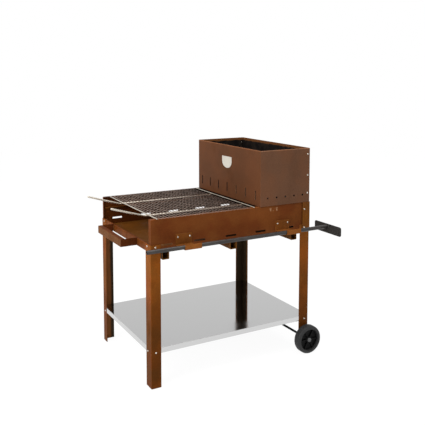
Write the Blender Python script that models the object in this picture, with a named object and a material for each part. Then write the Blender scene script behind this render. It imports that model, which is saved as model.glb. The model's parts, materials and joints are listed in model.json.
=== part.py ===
"""Wood-fired barbecue: a sheet-steel firebox on four angle legs with a grill, a brazier, wheels and a rake.

Metres, Z up. X runs along the long side: the carry handle is at -X, the brazier and the wheels at +X.
The rake hangs on the -Y side. The finished part stands with its origin under the middle of its outline.
"""
import math

import bmesh
import bpy
from mathutils import Matrix, Vector

# Overall sizes over the legs, and the gap that touching pieces keep
LENGTH = 0.905
DEPTH = 0.656
RIM_HEIGHT = 0.800
FIREBOX_DEPTH = 0.155
TOUCH = 0.0003

# Angle legs
LEG_WIDE = 0.059
LEG_NARROW = 0.050
LEG_SHEET = 0.003
LEG_RISE = 0.037
AXLE_LEG_FOOT = 0.040
BEND = 0.001

# Firebox sheets
SHEET = 0.002
RIM_FLANGE = 0.024
RETURN_FLANGES = {"front": 0.027, "back": 0.013}
SILL_HEIGHT = 0.034
SILL_FLANGE = 0.009
END_FLANGE = 0.048
END_RISE = 0.007
LEDGE_DROP = 0.058
LEDGE_WIDTH = 0.014
LEDGE_DEPTH = 0.013
LEDGE_SETBACK = 0.012
VENT_LENGTH = 0.060
VENT_HEIGHT = 0.009
VENT_RISE = 0.0325
VENT_START = 0.0795
VENT_END = 0.1265
VENT_COUNT = 5

# Stiffening channels under the floor
CHANNEL_WIDTH = 0.0355
CHANNEL_HEIGHT = 0.037
CHANNEL_SETBACK = 0.003
CHANNEL_START = 0.0775
CHANNEL_END = 0.0965

# Shelf between the legs
SHELF_HEIGHT = 0.192
SHELF_FLANGE = 0.026
SHELF_SHEET = 0.0015
SHELF_INSET = 0.0006
TAB_INSET = 0.0001

# Wheels on one axle
WHEEL_RADIUS = 0.0735
WHEEL_WIDTH = 0.045
WHEEL_GAP = 0.0078
WHEEL_INSET = 0.0245
TREAD_ROUND = 0.012
RIM_INSIDE = 0.055
WEB_SETBACK = 0.016
WEB_THICKNESS = 0.008
HUB_RADIUS = 0.017
HUB_SETBACK = 0.006
AXLE_RADIUS = 0.006
RUNNING = 0.0004
AXLE_STUB = 0.004
CAP_RADIUS = 0.0115
CAP_LENGTH = 0.007

# Carry handle on the left end
CARRY_REACH = 0.084
CARRY_WIDTH = 0.321
CARRY_HEIGHT = 0.0365
CARRY_FLANGE = 0.0225
CARRY_RISE = 0.0003
CARRY_ARM = 0.030
CARRY_TAB = 0.014

# Grill resting on the rim
GRILL_START = 0.030
GRILL_GAP = 0.035
GRILL_FRONT_GAP = 0.0
GRILL_BACK_GAP = 0.038
GRILL_END_SPACE = 0.025
CROSS_RADIUS = 0.003
ROD_RADIUS = 0.0045
ROD_SHARES = {"front": -0.615, "back": 0.443}
HANDLE_START = 0.010
HANDLE_REACH = 0.176
HANDLE_RISE = 0.056
HANDLE_SPLAY = {"front": -0.020, "back": -0.012}
HANDLE_BEND = 0.030
MESH_SHEET = 0.002
MESH_STRAND = 0.003
MESH_COLUMNS = 14
MESH_ROWS = 17

# Brazier standing on the rim
BRAZIER_LENGTH = 0.3065
BRAZIER_INSET = 0.001
BRAZIER_HEIGHT = 0.2827
BRAZIER_FLANGE = 0.016
PANEL_FLANGE = 0.022
SLOT_COUNT = 7
SLOT_PITCH = 0.0937
SLOT_WIDTH = 0.008
SLOT_HEIGHT = 0.0485
SLOT_RISE = 0.030
HOLE_COUNT = 5
HOLE_PITCH = 0.054
HOLE_RADIUS = 0.005
HOLE_RISE = 0.0405
GRATE_SHEET = 0.004
GRATE_CLEAR = 0.005
GRATE_BAR = 0.012
GRATE_COLUMNS = 8
GRATE_ROWS = 2
BADGE_WIDTH = 0.100
BADGE_HEIGHT = 0.063
BADGE_STRAIGHT = 0.027
BADGE_RISE = 0.2205
BADGE_SHIFT = 0.001
BADGE_SHEET = 0.0015

# Rake and its two brackets
BRACKET_INSET = 0.1702
BRACKET_WIDTH = 0.085
BRACKET_SHEET = 0.0025
BRACKET_RISE = 0.023
BRACKET_HEIGHT = 0.053
BRACKET_REACH = 0.104
BRACKET_LIP = 0.0255
TUBE_RADIUS = 0.0095
TUBE_WALL = 0.0015
BLADE_OVERHANG = 0.050
GRIP_OVERHANG = 0.057
BLADE_WIDTH = 0.208
BLADE_HEIGHT = 0.048
BLADE_SHEET = 0.003
BLADE_CORNER = 0.010
BLADE_OVER = 0.0135

# Screws, each with its nut run up against the sheets
HEAD_RADIUS = 0.0045
HEAD_HEIGHT = 0.0025
SHANK_RADIUS = 0.0022
NUT_RADIUS = 0.0040
NUT_HEIGHT = 0.0035
LEG_SCREW_DROP = 0.0105
LEG_SCREW_INSET = 0.0235
LEG_EDGE_SCREW_INSET = 0.019
END_SCREW_INSET = 0.0355
END_SCREW_DROPS = (0.0365, 0.133)
SHELF_SCREW_DROP = 0.020
BRACKET_SCREW_SPACING = 0.062
BRACKET_SCREW_DROP = 0.0155
PANEL_SCREW_INSET = 0.0135
PANEL_SCREW_LOW = 0.0477
PANEL_SCREW_MIDDLE = 0.1414
PANEL_SCREW_DROP = 0.0312

# Planes that several pieces share
HALF_X = LENGTH / 2
HALF_Y = DEPTH / 2
FLOOR_HEIGHT = RIM_HEIGHT - FIREBOX_DEPTH
LEG_TOP = FLOOR_HEIGHT + LEG_RISE
INNER_X = HALF_X - LEG_SHEET - TOUCH
INNER_Y = HALF_Y - LEG_SHEET - TOUCH
WALL_INSIDE_Y = INNER_Y - SHEET
END_X = HALF_X + TOUCH + SHEET
END_Y = HALF_Y + TOUCH + SHEET
FLOOR_TOP = FLOOR_HEIGHT + SHEET
AXLE_X = HALF_X - WHEEL_INSET
WHEEL_FACE = HALF_Y + WHEEL_GAP + WHEEL_WIDTH
CARRY_X = -INNER_X - CARRY_REACH
CROSS_Z = RIM_HEIGHT + TOUCH + CROSS_RADIUS
ROD_Z = CROSS_Z - CROSS_RADIUS - TOUCH - ROD_RADIUS
GRILL_LEFT = -INNER_X + GRILL_START
GRILL_FRONT = -HALF_Y + GRILL_FRONT_GAP
GRILL_BACK = HALF_Y - GRILL_BACK_GAP
HANDLE_X = GRILL_LEFT - HANDLE_START - HANDLE_REACH
BRAZIER_RIGHT = HALF_X - BRAZIER_INSET
BRAZIER_LEFT = BRAZIER_RIGHT - BRAZIER_LENGTH
GRILL_RIGHT = BRAZIER_LEFT - GRILL_GAP
BRAZIER_Y = HALF_Y
BRAZIER_FOOT = RIM_HEIGHT + TOUCH
BRAZIER_TOP = BRAZIER_FOOT + BRAZIER_HEIGHT
BRACKET_FOOT = FLOOR_HEIGHT + BRACKET_RISE
BRACKET_Y = -INNER_Y - TOUCH
LIP_Y = BRACKET_Y - BRACKET_REACH
TUBE_Y = LIP_Y + BRACKET_SHEET + TOUCH + TUBE_RADIUS
TUBE_Z = BRACKET_FOOT + BRACKET_SHEET + TOUCH + TUBE_RADIUS
BLADE_X = HALF_X + BLADE_OVERHANG


def clear_scene():
    for obj in list(bpy.data.objects):
        bpy.data.objects.remove(obj, do_unlink=True)


def material(name, colour, roughness, metallic):
    mat = bpy.data.materials.new(name)
    mat.use_nodes = True
    shader = mat.node_tree.nodes["Principled BSDF"]
    shader.inputs["Base Color"].default_value = (*colour, 1.0)
    shader.inputs["Roughness"].default_value = roughness
    shader.inputs["Metallic"].default_value = metallic
    return mat


def make_materials():
    return {
        "rust": material("rust_effect_paint", (0.125, 0.040, 0.012), 0.55, 0.2),
        "brazier": material("brazier_paint", (0.130, 0.060, 0.034), 0.6, 0.2),
        "black": material("sooted_steel", (0.013, 0.012, 0.011), 0.7, 0.2),
        "mirror": material("polished_stainless_sheet", (0.62, 0.62, 0.62), 0.08, 1.0),
        "stainless": material("stainless_wire", (0.60, 0.55, 0.50), 0.3, 1.0),
        "rake": material("bare_dark_steel", (0.13, 0.12, 0.11), 0.45, 0.7),
        "rubber": material("black_moulded_wheel", (0.020, 0.020, 0.020), 0.6, 0.0),
        "cap": material("grey_plastic_cap", (0.09, 0.09, 0.09), 0.45, 0.0),
        "zinc": material("zinc_plated_screw", (0.70, 0.66, 0.60), 0.3, 1.0),
    }


# Each mesh is built in its world place and then moved so that its own origin is the given point
def place(name, bm, mat, origin=(0.0, 0.0, 0.0), smooth=False):
    bmesh.ops.recalc_face_normals(bm, faces=bm.faces)
    bmesh.ops.translate(bm, verts=bm.verts, vec=-Vector(origin))
    mesh = bpy.data.meshes.new(name)
    bm.to_mesh(mesh)
    bm.free()
    obj = bpy.data.objects.new(name, mesh)
    obj.location = origin
    bpy.context.scene.collection.objects.link(obj)
    if mat:
        mesh.materials.append(mat)
    if smooth:
        mesh.shade_smooth()
        mesh.set_sharp_from_angle(angle=math.radians(35))
    return obj


def add_box(bm, low, high):
    low, high = Vector(low), Vector(high)
    size = Matrix.Diagonal((*(high - low), 1.0))
    bmesh.ops.create_cube(bm, size=1.0, matrix=Matrix.Translation((low + high) / 2) @ size)


def box(low, high):
    bm = bmesh.new()
    add_box(bm, low, high)
    return bm


# A box written for the front left quarter, mirrored to another one by the signs of X and Y there
def quarter_box(low, high, along_x, along_y):
    xs = sorted((low[0] * -along_x, high[0] * -along_x))
    ys = sorted((low[1] * -along_y, high[1] * -along_y))
    return (xs[0], ys[0], low[2]), (xs[1], ys[1], high[2])


def add_rod(bm, start, end, radius, sides):
    start, end = Vector(start), Vector(end)
    turn = (end - start).to_track_quat("Z", "Y").to_matrix().to_4x4()
    bmesh.ops.create_cone(
        bm,
        cap_ends=True,
        segments=sides,
        radius1=radius,
        radius2=radius,
        depth=(end - start).length,
        matrix=Matrix.Translation((start + end) / 2) @ turn,
    )


def boolean(obj, tool, operation="DIFFERENCE"):
    tool.hide_render = True
    tool.display_type = "WIRE"
    cut = obj.modifiers.new(tool.name, "BOOLEAN")
    cut.operation = operation
    cut.object = tool
    cut.solver = "EXACT"


def cut_boxes(obj, boxes, tag):
    bm = bmesh.new()
    for low, high in boxes:
        add_box(bm, low, high)
    boolean(obj, place(f"{obj.name}_{tag}", bm, None))


def join_boxes(obj, boxes, tag):
    for number, (low, high) in enumerate(boxes):
        boolean(obj, place(f"{obj.name}_{tag}_{number}", box(low, high), None), "UNION")


def drill(obj, holes, direction, half, radius, tag, sides=8):
    """Cuts round holes about the given points, to a depth of half on either side of each."""
    bm = bmesh.new()
    reach = Vector(direction) * half
    for middle in holes:
        add_rod(bm, Vector(middle) - reach, Vector(middle) + reach, radius, sides)
    boolean(obj, place(f"{obj.name}_{tag}", bm, None))


# A bent sheet's section: the path is one face, and the sheet lies on its left (1) or its right (-1)
def bent_section(path, thickness, side, steps=2):
    near, far = [], []
    points = [Vector(p) for p in path]
    for i, point in enumerate(points):
        before = (point - points[i - 1]).normalized() if i else None
        after = (points[i + 1] - point).normalized() if i + 1 < len(points) else None
        if before is None or after is None:
            along = after or before
            near.append(point)
            far.append(point + Vector((-along.y, along.x)) * side * thickness)
            continue
        turn = 1 if before.cross(after) > 0 else -1
        near_radius = BEND + thickness if turn == side else BEND
        far_radius = near_radius - thickness * turn * side
        normal_a = Vector((-before.y, before.x)) * turn
        normal_b = Vector((-after.y, after.x)) * turn
        centre = point + (normal_a + normal_b) * near_radius / (1 + normal_a.dot(normal_b))
        for k in range(steps + 1):
            spoke = (-normal_a).slerp(-normal_b, k / steps)
            near.append(centre + spoke * near_radius)
            far.append(centre + spoke * far_radius)
    return near + far[::-1]


# Extrudes an outline along one axis; its two coordinates are the other axes in X, Y, Z order
def extruded(outline, axis, low, high):
    bm = bmesh.new()
    others = [i for i in range(3) if i != axis]
    verts = []
    for a, b in outline:
        spot = [0.0, 0.0, 0.0]
        spot[others[0]], spot[others[1]], spot[axis] = a, b, low
        verts.append(bm.verts.new(spot))
    face = bm.faces.new(verts)
    grown = bmesh.ops.extrude_face_region(bm, geom=[face])["geom"]
    shift = [0.0, 0.0, 0.0]
    shift[axis] = high - low
    bmesh.ops.translate(bm, vec=shift, verts=[v for v in grown if isinstance(v, bmesh.types.BMVert)])
    return bm


def turned(profile, centre, axis, segments):
    """Spins an outline of (radius, distance along the axis) round an axis through the centre."""
    bm = bmesh.new()
    centre, axis = Vector(centre), Vector(axis)
    out = Vector((0, 0, 1)) if abs(axis.z) < 0.5 else Vector((1, 0, 0))
    verts = [bm.verts.new(centre + out * r + axis * a) for r, a in profile]
    edges = [bm.edges.new((verts[i], verts[i + 1])) for i in range(len(verts) - 1)]
    if profile[0][0] > 0:
        edges.append(bm.edges.new((verts[-1], verts[0])))
    geom = verts + edges
    bmesh.ops.spin(bm, geom=geom, cent=centre, axis=axis, angle=math.tau, steps=segments, use_merge=True)
    bmesh.ops.remove_doubles(bm, verts=bm.verts, dist=1e-6)
    return bm


# Every leg is the same unequal angle, turned by a quarter from one corner to the next
def leg_flanges(along_x, along_y):
    return (LEG_NARROW, LEG_WIDE) if along_x == along_y else (LEG_WIDE, LEG_NARROW)


def make_legs(mats):
    legs = {}
    for along_y, side in ((-1, "front"), (1, "back")):
        for along_x, end in ((-1, "left"), (1, "right")):
            foot = 0.0 if end == "left" else AXLE_LEG_FOOT
            flange_x, flange_y = leg_flanges(along_x, along_y)
            corner = [(-HALF_X + flange_x, -HALF_Y), (-HALF_X, -HALF_Y), (-HALF_X, -HALF_Y + flange_y)]
            section = bent_section(corner, LEG_SHEET, -1)
            outline = [(-along_x * x, -along_y * y) for x, y in section]
            name = f"leg_{side}_{end}"
            legs[name] = place(name, extruded(outline, 2, foot, LEG_TOP), mats["rust"])
        axle_hole = (AXLE_X, along_y * HALF_Y, WHEEL_RADIUS)
        drill(legs[f"leg_{side}_right"], [axle_hole], (0, 1, 0), LEG_SHEET * 2, AXLE_RADIUS + TOUCH, "axle", 12)
    return legs


def make_firebox(mats):
    sheets = {}
    pitch = (2 * INNER_X - VENT_START - VENT_END) / (VENT_COUNT - 1)
    vent_x = [-INNER_X + VENT_START + pitch * k for k in range(VENT_COUNT)]
    vent_low = FLOOR_HEIGHT + VENT_RISE - VENT_HEIGHT / 2
    for along_y, side in ((-1, "front"), (1, "back")):
        path = [(INNER_Y, FLOOR_HEIGHT), (INNER_Y, RIM_HEIGHT), (INNER_Y - RIM_FLANGE, RIM_HEIGHT)]
        section = [(along_y * y, z) for y, z in bent_section(path, SHEET, 1)]
        name = f"firebox_{side}_wall"
        wall = place(name, extruded(section, 0, -INNER_X, INNER_X), mats["rust"])
        flange = quarter_box(
            (-INNER_X, -INNER_Y + SHEET / 2, FLOOR_TOP + TOUCH),
            (-INNER_X + SHEET, -INNER_Y + RETURN_FLANGES[side], RIM_HEIGHT - SHEET / 2),
            -1,
            along_y,
        )
        join_boxes(wall, [flange], "return")
        vents = [
            quarter_box(
                (x - VENT_LENGTH / 2, -INNER_Y - SHEET, vent_low),
                (x + VENT_LENGTH / 2, -INNER_Y + SHEET * 2, vent_low + VENT_HEIGHT),
                -1,
                along_y,
            )
            for x in vent_x
        ]
        cut_boxes(wall, vents, "vents")
        sheets[name] = wall
        ledge_y = WALL_INSIDE_Y - TOUCH
        ledge_z = RIM_HEIGHT - LEDGE_DROP
        path = [(ledge_y, ledge_z - LEDGE_DEPTH), (ledge_y, ledge_z), (ledge_y - LEDGE_WIDTH, ledge_z)]
        section = [(along_y * y, z) for y, z in bent_section(path, SHEET, 1)]
        ledge_end = INNER_X - LEDGE_SETBACK
        place(f"grill_ledge_{side}", extruded(section, 0, -ledge_end, ledge_end), mats["rust"])
    floor_y = WALL_INSIDE_Y - TOUCH
    floor = box((-INNER_X, -floor_y, FLOOR_HEIGHT), (INNER_X, floor_y, FLOOR_TOP))
    place("firebox_floor", floor, mats["rust"])
    sill_low = FLOOR_TOP + TOUCH
    sill_top = sill_low + SILL_HEIGHT
    path = [(-INNER_X, sill_low), (-INNER_X, sill_top), (-INNER_X + SILL_FLANGE, sill_top)]
    sill_front, sill_back = (INNER_Y - RETURN_FLANGES[side] - TOUCH for side in ("front", "back"))
    sill = extruded(bent_section(path, SHEET, -1), 1, -sill_front, sill_back)
    sheets["firebox_sill"] = place("firebox_sill", sill, mats["rust"])
    fold = END_X - END_FLANGE
    path = [(fold, -END_Y), (END_X, -END_Y), (END_X, END_Y), (fold, END_Y)]
    panel = extruded(bent_section(path, SHEET, 1), 2, FLOOR_HEIGHT + END_RISE, RIM_HEIGHT)
    sheets["firebox_end_panel"] = place("firebox_end_panel", panel, mats["rust"])
    return sheets


def make_channels(mats):
    top = FLOOR_HEIGHT - TOUCH
    foot = top - CHANNEL_HEIGHT
    reach = HALF_Y - CHANNEL_SETBACK
    pitch = (LENGTH - CHANNEL_START - CHANNEL_END) / 2
    for step, end in enumerate(("left", "middle", "right")):
        low = -HALF_X + CHANNEL_START + step * pitch - CHANNEL_WIDTH / 2
        high = low + CHANNEL_WIDTH
        path = [(low, top), (low, foot), (high, foot), (high, top)]
        place(f"floor_channel_{end}", extruded(bent_section(path, SHEET, 1), 1, -reach, reach), mats["rust"])


def shelf_gaps(along_x, along_y):
    flange_x, flange_y = leg_flanges(along_x, along_y)
    return HALF_X - flange_x - TOUCH, HALF_Y - flange_y - TOUCH


# The flanges lie in the plane of the legs' faces, and the corner tabs lie inside the legs
def make_shelf(mats):
    low, middle_z = SHELF_HEIGHT - SHELF_FLANGE, SHELF_HEIGHT - SHELF_SHEET / 2
    edge_x, edge_y = HALF_X - SHELF_INSET, HALF_Y - SHELF_INSET
    plate = box((-edge_x, -edge_y, SHELF_HEIGHT - SHELF_SHEET), (edge_x, edge_y, SHELF_HEIGHT))
    shelf = place("shelf", plate, mats["mirror"])
    notches, flanges = [], []
    for along_x in (-1, 1):
        for along_y in (-1, 1):
            gap_x, gap_y = shelf_gaps(along_x, along_y)
            near = (-edge_x - LEG_SHEET, -edge_y - LEG_SHEET, low)
            for far in ((-gap_x, -INNER_Y), (-INNER_X, -gap_y)):
                notches.append(quarter_box(near, (*far, SHELF_HEIGHT + LEG_SHEET), along_x, along_y))
            tab_x, tab_y = -INNER_X + TAB_INSET, -INNER_Y + TAB_INSET
            for far in (
                (-gap_x + SHELF_SHEET, tab_y + SHELF_SHEET),
                (tab_x + SHELF_SHEET, -gap_y + SHELF_SHEET),
            ):
                flanges.append(quarter_box((tab_x, tab_y, low), (*far, middle_z), along_x, along_y))
    out_x, out_y = edge_x - TAB_INSET, edge_y - TAB_INSET
    for along_y in (-1, 1):
        left, right = (shelf_gaps(along_x, along_y)[0] - TAB_INSET for along_x in (-1, 1))
        side = ((-left, -out_y, low), (right, -out_y + SHELF_SHEET, middle_z))
        flanges.append(quarter_box(*side, -1, along_y))
    for along_x in (-1, 1):
        front, back = (shelf_gaps(along_x, along_y)[1] - TAB_INSET for along_y in (-1, 1))
        end = ((-out_x, -front, low), (-out_x + SHELF_SHEET, back, middle_z))
        flanges.append(quarter_box(*end, along_x, -1))
    cut_boxes(shelf, notches[0::2], "notch_x")
    cut_boxes(shelf, notches[1::2], "notch_y")
    join_boxes(shelf, flanges, "flange")
    return shelf


def make_wheels(mats):
    bore = AXLE_RADIUS + RUNNING
    web_back = WEB_SETBACK + WEB_THICKNESS
    shoulder_drop = TREAD_ROUND * (1 - math.sqrt(0.5))
    shoulder = WHEEL_RADIUS - shoulder_drop
    profile = [
        (bore, HUB_SETBACK),
        (HUB_RADIUS, HUB_SETBACK),
        (HUB_RADIUS, WEB_SETBACK),
        (RIM_INSIDE, WEB_SETBACK),
        (RIM_INSIDE, 0.0),
        (WHEEL_RADIUS - TREAD_ROUND, 0.0),
        (shoulder, shoulder_drop),
        (WHEEL_RADIUS, TREAD_ROUND),
        (WHEEL_RADIUS, WHEEL_WIDTH - TREAD_ROUND),
        (shoulder, WHEEL_WIDTH - shoulder_drop),
        (WHEEL_RADIUS - TREAD_ROUND, WHEEL_WIDTH),
        (RIM_INSIDE, WHEEL_WIDTH),
        (RIM_INSIDE, web_back),
        (HUB_RADIUS, web_back),
        (HUB_RADIUS, WHEEL_WIDTH),
        (bore, WHEEL_WIDTH),
    ]
    stub = WHEEL_FACE - HUB_SETBACK + AXLE_STUB
    cap_bore = AXLE_RADIUS + TOUCH
    cap = [
        (0.0, CAP_LENGTH),
        (CAP_RADIUS * 0.6, CAP_LENGTH),
        (CAP_RADIUS, CAP_LENGTH * 0.6),
        (CAP_RADIUS, 0.0),
        (cap_bore, 0.0),
        (cap_bore, AXLE_STUB),
        (0.0, AXLE_STUB),
    ]
    for along_y, side in ((-1, "front"), (1, "back")):
        centre = Vector((AXLE_X, along_y * WHEEL_FACE, WHEEL_RADIUS))
        inward = (0, -along_y, 0)
        body = turned(profile, centre, inward, 28)
        place(f"wheel_{side}", body, mats["rubber"], centre, smooth=True)
        seat = Vector((AXLE_X, along_y * (WHEEL_FACE - HUB_SETBACK + TOUCH), WHEEL_RADIUS))
        place(f"hub_cap_{side}", turned(cap, seat, (0, along_y, 0), 16), mats["cap"], seat, smooth=True)
    bm = bmesh.new()
    add_rod(bm, (AXLE_X, -stub, WHEEL_RADIUS), (AXLE_X, stub, WHEEL_RADIUS), AXLE_RADIUS, 12)
    place("axle", bm, mats["black"], smooth=True)


# A bent sheet held out from the sill, with a hand's width between them
def make_carry_handle(mats):
    low = FLOOR_TOP + CARRY_RISE
    high = low + CARRY_HEIGHT
    half = CARRY_WIDTH / 2
    path = [(CARRY_X, low), (CARRY_X, high), (CARRY_X + CARRY_FLANGE, high)]
    bar = place("carry_handle", extruded(bent_section(path, SHEET, -1), 1, -half, half), mats["rust"])
    back = -INNER_X - TOUCH
    pieces = []
    for along_y in (-1, 1):
        arm = ((CARRY_X + SHEET / 2, -half, low), (back, -half + SHEET, low + CARRY_ARM))
        tab = ((back - SHEET, -half, low), (back, -half + CARRY_TAB, low + CARRY_ARM))
        pieces += [quarter_box(*arm, -1, along_y), quarter_box(*tab, -1, along_y)]
    join_boxes(bar, pieces, "arm")


# A route through points whose corners are arcs of the given radius
def rounded_route(points, radius, steps=4):
    route = [Vector(points[0])]
    for i in range(1, len(points) - 1):
        before, corner, after = (Vector(points[k]) for k in (i - 1, i, i + 1))
        a, b = (before - corner).normalized(), (after - corner).normalized()
        half = a.angle(b) / 2
        centre = corner + (a + b).normalized() * radius / math.sin(half)
        start = (corner + a * radius / math.tan(half) - centre).normalized()
        end = (corner + b * radius / math.tan(half) - centre).normalized()
        route += [centre + start.slerp(end, k / steps) * radius for k in range(steps + 1)]
    route.append(Vector(points[-1]))
    return route


def bent_rod(name, points, radius, bend, mat):
    curve = bpy.data.curves.new(name, "CURVE")
    curve.dimensions = "3D"
    curve.bevel_depth = radius
    curve.bevel_resolution = 2
    curve.use_fill_caps = True
    route = rounded_route(points, bend)
    spline = curve.splines.new("POLY")
    spline.points.add(len(route) - 1)
    for spot, point in zip(spline.points, route):
        spot.co = (*point, 1.0)
    curve.materials.append(mat)
    obj = bpy.data.objects.new(name, curve)
    bpy.context.scene.collection.objects.link(obj)
    return obj


def make_grill(mats):
    for x, end in ((GRILL_LEFT, "left"), (GRILL_RIGHT, "right")):
        bm = bmesh.new()
        add_rod(bm, (x, GRILL_FRONT, CROSS_Z), (x, GRILL_BACK, CROSS_Z), CROSS_RADIUS, 10)
        place(f"grill_end_bar_{end}", bm, mats["stainless"], smooth=True)
    for side, share in ROD_SHARES.items():
        y = (GRILL_FRONT + GRILL_BACK + share * (GRILL_BACK - GRILL_FRONT)) / 2
        route = [
            (GRILL_RIGHT + CROSS_RADIUS, y, ROD_Z),
            (GRILL_LEFT - HANDLE_START, y, ROD_Z),
            (HANDLE_X, y + HANDLE_SPLAY[side], ROD_Z + HANDLE_RISE),
        ]
        bent_rod(f"grill_rod_{side}", route, ROD_RADIUS, HANDLE_BEND, mats["stainless"])
    bottom = RIM_HEIGHT + TOUCH
    top = bottom + MESH_SHEET
    low = (GRILL_LEFT + CROSS_RADIUS + TOUCH, GRILL_FRONT)
    high = (GRILL_RIGHT - GRILL_END_SPACE, GRILL_BACK)
    mesh = place("grill_mesh", box((*low, bottom), (*high, top)), mats["stainless"])
    step_x = (high[0] - low[0] - MESH_STRAND) / MESH_COLUMNS
    step_y = (high[1] - low[1] - MESH_STRAND) / MESH_ROWS
    openings = []
    for i in range(MESH_COLUMNS):
        for j in range(MESH_ROWS):
            x, y = low[0] + MESH_STRAND + i * step_x, low[1] + MESH_STRAND + j * step_y
            far = (x + step_x - MESH_STRAND, y + step_y - MESH_STRAND, top + MESH_SHEET)
            openings.append(((x, y, bottom - MESH_SHEET), far))
    cut_boxes(mesh, openings, "openings")


def make_brazier(mats):
    inside = BRAZIER_Y - SHEET
    path = [
        (BRAZIER_RIGHT, -BRAZIER_Y),
        (BRAZIER_LEFT, -BRAZIER_Y),
        (BRAZIER_LEFT, BRAZIER_Y),
        (BRAZIER_RIGHT, BRAZIER_Y),
    ]
    walls = extruded(bent_section(path, SHEET, -1), 2, BRAZIER_FOOT, BRAZIER_TOP)
    shell = place("brazier_shell", walls, mats["brazier"])
    near_y = inside - BEND
    flange_low = (BRAZIER_LEFT + SHEET / 2, -near_y, BRAZIER_FOOT)
    flange_high = (BRAZIER_LEFT + BRAZIER_FLANGE, near_y, BRAZIER_FOOT + SHEET)
    join_boxes(shell, [(flange_low, flange_high)], "flange")
    slots = []
    for k in range(SLOT_COUNT):
        y = (k - (SLOT_COUNT - 1) / 2) * SLOT_PITCH
        low = (BRAZIER_LEFT - SHEET, y - SLOT_WIDTH / 2, BRAZIER_FOOT + SLOT_RISE)
        high = (BRAZIER_LEFT + SHEET * 2, y + SLOT_WIDTH / 2, BRAZIER_FOOT + SLOT_RISE + SLOT_HEIGHT)
        slots.append((low, high))
    cut_boxes(shell, slots, "slots")
    middle_x = (BRAZIER_LEFT + BRAZIER_RIGHT) / 2
    holes = [
        (middle_x + (k - (HOLE_COUNT - 1) / 2) * HOLE_PITCH, -BRAZIER_Y, BRAZIER_FOOT + HOLE_RISE)
        for k in range(HOLE_COUNT)
    ]
    drill(shell, holes, (0, 1, 0), SHEET * 2, HOLE_RADIUS, "air_holes", 12)
    panel_y = inside - TOUCH
    fold = BRAZIER_RIGHT - PANEL_FLANGE
    path = [(fold, -panel_y), (BRAZIER_RIGHT, -panel_y), (BRAZIER_RIGHT, panel_y), (fold, panel_y)]
    sides = extruded(bent_section(path, SHEET, 1), 2, BRAZIER_FOOT, BRAZIER_TOP)
    panel = place("brazier_end_panel", sides, mats["brazier"])
    near_y = panel_y - SHEET - BEND
    foot_low = (BRAZIER_RIGHT - BRAZIER_FLANGE, -near_y, BRAZIER_FOOT)
    foot_high = (BRAZIER_RIGHT - SHEET / 2, near_y, BRAZIER_FOOT + SHEET)
    join_boxes(panel, [(foot_low, foot_high)], "foot")
    make_grate(mats, panel_y - SHEET - GRATE_CLEAR)
    return shell, panel


def make_grate(mats, half):
    low = BRAZIER_FOOT + SHEET + TOUCH
    left, right = BRAZIER_LEFT + SHEET + GRATE_CLEAR, BRAZIER_RIGHT - SHEET - GRATE_CLEAR
    plate = box((left, -half, low), (right, half, low + GRATE_SHEET))
    grate = place("brazier_grate", plate, mats["black"])
    step_x = (right - left - GRATE_BAR) / GRATE_COLUMNS
    step_y = (half * 2 - GRATE_BAR) / GRATE_ROWS
    gaps = []
    for i in range(GRATE_COLUMNS):
        for j in range(GRATE_ROWS):
            x, y = left + GRATE_BAR + i * step_x, -half + GRATE_BAR + j * step_y
            far = (x + step_x - GRATE_BAR, y + step_y - GRATE_BAR, low + GRATE_SHEET * 2)
            gaps.append(((x, y, low - GRATE_SHEET), far))
    cut_boxes(grate, gaps, "gaps")


# A blank plate with a straight top and a rounded foot
def make_badge(mats):
    half = BADGE_WIDTH / 2
    top = BRAZIER_TOP - BRAZIER_HEIGHT + BADGE_RISE
    start = top - BADGE_STRAIGHT
    drop = BADGE_HEIGHT - BADGE_STRAIGHT
    outline = [(BADGE_SHIFT - half, top), (BADGE_SHIFT + half, top)]
    for k in range(9):
        t = math.pi * k / 8
        outline.append((BADGE_SHIFT + half * math.cos(t), start - drop * math.sin(t)))
    outer = BRAZIER_LEFT - TOUCH - BADGE_SHEET
    place("brazier_badge", extruded(outline, 0, outer, outer + BADGE_SHEET), mats["brazier"])


def make_rake(mats):
    brackets = {}
    top = BRACKET_FOOT + BRACKET_HEIGHT
    lip_top = BRACKET_FOOT + BRACKET_LIP
    path = [(BRACKET_Y, top), (BRACKET_Y, BRACKET_FOOT), (LIP_Y, BRACKET_FOOT), (LIP_Y, lip_top)]
    section = bent_section(path, BRACKET_SHEET, -1)
    for along_x, end in ((-1, "left"), (1, "right")):
        middle = along_x * (HALF_X - BRACKET_INSET)
        span = (middle - BRACKET_WIDTH / 2, middle + BRACKET_WIDTH / 2)
        name = f"rake_bracket_{end}"
        brackets[name] = place(name, extruded(section, 0, *span), mats["rust"])
    length = BLADE_X - TOUCH + HALF_X + GRIP_OVERHANG
    bore = TUBE_RADIUS - TUBE_WALL
    tube = [(TUBE_RADIUS, 0.0), (TUBE_RADIUS, length), (bore, length), (bore, 0.0)]
    start = (-HALF_X - GRIP_OVERHANG, TUBE_Y, TUBE_Z)
    place("rake_tube", turned(tube, start, (1, 0, 0), 16), mats["rake"], smooth=True)
    top = TUBE_Z + BLADE_OVER
    outline = []
    for corner_y, corner_z, first in ((1, 1, 0), (-1, 1, 1), (-1, 0, 2), (1, 0, 3)):
        y = TUBE_Y + corner_y * (BLADE_WIDTH / 2 - BLADE_CORNER)
        z = top - BLADE_CORNER if corner_z else top - BLADE_HEIGHT + BLADE_CORNER
        for k in range(4):
            t = math.pi / 2 * (first + k / 3)
            outline.append((y + BLADE_CORNER * math.cos(t), z + BLADE_CORNER * math.sin(t)))
    place("rake_blade", extruded(outline, 0, BLADE_X, BLADE_X + BLADE_SHEET), mats["rake"])
    return brackets


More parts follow.
